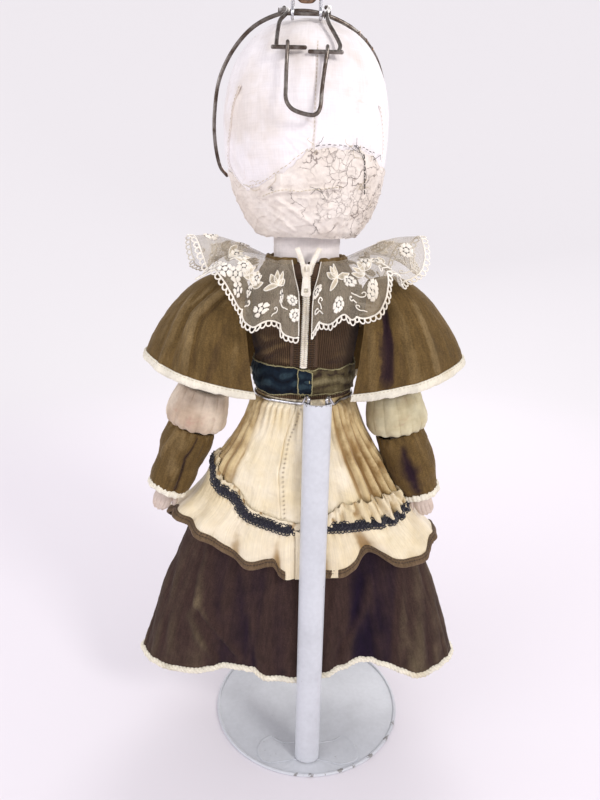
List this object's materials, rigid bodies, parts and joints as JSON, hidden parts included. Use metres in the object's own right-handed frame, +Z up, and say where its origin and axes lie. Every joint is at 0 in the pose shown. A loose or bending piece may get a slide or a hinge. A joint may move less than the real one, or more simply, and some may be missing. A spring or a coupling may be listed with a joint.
{
  "type": "ventriloquist dummy",
  "caption": "Ventriloquist dummy in a velvet dress with cape sleeves, lace collar and apron overskirt, with head controls and a wire head hoop, held at the waist on a round-base pole stand.",
  "frame": {"origin": "centre of the stand base's underside", "axes": "+Z up; the dummy faces +Y, so its back, zipper and the stand pole are towards -Y; +X is the dummy's right-hand side as seen from behind"},
  "size_m": [0.32, 0.2107, 0.7113],
  "materials": {
    "white_paint": "satin white enamel",
    "chrome_wire": "bright plated",
    "steel_wire": "tarnished",
    "copper_wire": "tarnished, copper tinted",
    "calico": "plain weave",
    "nape_cloth": "aged, crazed, stitched",
    "composition": "painted papier-mache, satin",
    "board": "pressed paperboard",
    "eye_glass": "glazed",
    "wood": "bare",
    "velvet_olive": "velvet pile",
    "velvet_dark": "velvet pile",
    "velvet_teal": "velvet pile",
    "satin_ivory": "satin",
    "lace": "embroidered net",
    "muslin_puff": "gathered muslin",
    "hand_cloth": "cotton",
    "stocking": "knit",
    "boot_leather": "polished",
    "zip_plastic": "moulded",
    "zip_tape": "woven tape",
    "cord_black": "braided"
  },
  "bodies": {
    "stand": {"stand_base": "white_paint", "pole_socket": "white_paint", "stand_pole": "white_paint"},
    "trunk": {"waist_clamp": "chrome_wire", "torso_shell": "board", "shoulder_board": "wood", "hip_board": "wood", "hip_bracket": "wood", "hip_rod": "steel_wire", "left_shoulder_bolt": "steel_wire", "right_shoulder_bolt": "steel_wire", "bodice": "velvet_dark", "sash": "velvet_teal", "left_zipper_tape": "zip_tape", "right_zipper_tape": "zip_tape", "zipper_chain": "zip_plastic", "lace_collar": "lace", "skirt": "velvet_dark", "overskirt": "satin_ivory"},
    "slider": {"zipper_slider": "zip_plastic"},
    "pull": {"zipper_pull": "zip_plastic"},
    "post": {"head_stick": "wood", "lever_bracket": "wood", "lever_pin": "steel_wire", "neck": "calico", "pull_cord": "cord_black"},
    "lever": {"mouth_lever": "wood"},
    "head": {"head_shell": "board", "head_cover": "calico", "nape_patch": "nape_cloth", "face_mask": "composition", "left_eye": "eye_glass", "right_eye": "eye_glass", "jaw_pin": "steel_wire", "left_jaw_bracket": "wood", "right_jaw_bracket": "wood", "jaw_spring": "steel_wire", "head_hoop": "steel_wire", "latch_links": "steel_wire"},
    "jaw": {"jaw": "composition"},
    "latch": {"latch_lever": "steel_wire"},
    "bail": {"draw_bail": "chrome_wire"},
    "inner_loop": {"inner_bail": "copper_wire"},
    "left_arm": {"left_upper_arm": "calico", "left_cape_sleeve": "velvet_olive", "left_puff_sleeve": "muslin_puff"},
    "left_lower_arm": {"left_forearm": "hand_cloth", "left_lower_sleeve": "velvet_olive"},
    "left_upper_leg": {"left_thigh": "calico"},
    "left_lower_leg": {"left_shin": "stocking", "left_boot": "boot_leather"},
    "right_arm": {"right_upper_arm": "calico", "right_cape_sleeve": "velvet_olive", "right_puff_sleeve": "muslin_puff"},
    "right_lower_arm": {"right_forearm": "hand_cloth", "right_lower_sleeve": "velvet_olive"},
    "right_upper_leg": {"right_thigh": "calico"},
    "right_lower_leg": {"right_shin": "stocking", "right_boot": "boot_leather"}
  },
  "joints": [
    {"name": "stand_height", "type": "slide", "parent": "stand", "child": "trunk", "axis": [0, 0, 1], "range_m": [0, 0.045]},
    {"name": "zipper_slide", "type": "slide", "parent": "trunk", "child": "slider", "axis": [0, 0, -1], "range_m": [0, 0.07]},
    {"name": "zipper_pull_swing", "type": "hinge", "parent": "slider", "child": "pull", "pos_m": [-0.012, -0.0772, 0.4842], "axis": [1, 0, 0], "range_deg": [-40, 0]},
    {"name": "head_turn", "type": "hinge", "parent": "trunk", "child": "post", "pos_m": [-0.012, -0.028, 0.4712], "axis": [0, 0, 1], "range_deg": [-60, 60]},
    {"name": "mouth_lever", "type": "hinge", "parent": "post", "child": "lever", "pos_m": [-0.012, -0.013, 0.402], "axis": [1, 0, 0], "range_deg": [-12.5, 0], "stiffness_Nm_per_rad": 0.15, "springref_deg": 20.05, "deforming": ["pull_cord"]},
    {"name": "head_nod", "type": "hinge", "parent": "post", "child": "head", "pos_m": [-0.012, -0.028, 0.512], "axis": [1, 0, 0], "range_deg": [-10, 10]},
    {"name": "jaw_open", "type": "hinge", "parent": "head", "child": "jaw", "pos_m": [-0.012, -0.01, 0.535], "axis": [1, 0, 0], "range_deg": [-12.5, 0]},
    {"name": "latch_lever_swing", "type": "hinge", "parent": "head", "child": "latch", "pos_m": [-0.015, -0.095, 0.632], "axis": [0.9961, 0, -0.0879], "range_deg": [-90, 0]},
    {"name": "draw_bail_swing", "type": "hinge", "parent": "head", "child": "bail", "pos_m": [-0.0163, -0.073, 0.6596], "axis": [1, 0, 0], "range_deg": [-12, 60]},
    {"name": "inner_bail_swing", "type": "hinge", "parent": "bail", "child": "inner_loop", "pos_m": [-0.0163, -0.064, 0.707], "axis": [1, 0, 0], "range_deg": [-20, 8]},
    {"name": "left_shoulder", "type": "hinge", "parent": "trunk", "child": "left_arm", "pos_m": [-0.078, -0.028, 0.45], "axis": [1, 0, 0], "range_deg": [-20, 45]},
    {"name": "left_elbow", "type": "hinge", "parent": "left_arm", "child": "left_lower_arm", "pos_m": [-0.113, -0.028, 0.337], "axis": [0.9552, 0, -0.2959], "range_deg": [0, 50]},
    {"name": "left_hip", "type": "hinge", "parent": "trunk", "child": "left_upper_leg", "pos_m": [-0.035, -0.028, 0.262], "axis": [1, 0, 0], "range_deg": [0, 15]},
    {"name": "left_knee", "type": "hinge", "parent": "left_upper_leg", "child": "left_lower_leg", "pos_m": [-0.035, -0.028, 0.186], "axis": [1, 0, 0], "range_deg": [-10, 0]},
    {"name": "right_shoulder", "type": "hinge", "parent": "trunk", "child": "right_arm", "pos_m": [0.054, -0.028, 0.45], "axis": [1, 0, 0], "range_deg": [-20, 45]},
    {"name": "right_elbow", "type": "hinge", "parent": "right_arm", "child": "right_lower_arm", "pos_m": [0.077, -0.028, 0.337], "axis": [0.9799, 0, 0.1994], "range_deg": [0, 50]},
    {"name": "right_hip", "type": "hinge", "parent": "trunk", "child": "right_upper_leg", "pos_m": [0.011, -0.028, 0.262], "axis": [1, 0, 0], "range_deg": [0, 15]},
    {"name": "right_knee", "type": "hinge", "parent": "right_upper_leg", "child": "right_lower_leg", "pos_m": [0.011, -0.028, 0.186], "axis": [1, 0, 0], "range_deg": [-10, 0]}
  ],
  "couplings": [
    {"joint": "jaw_open", "follows": "mouth_lever", "ratio": 1}
  ]
}
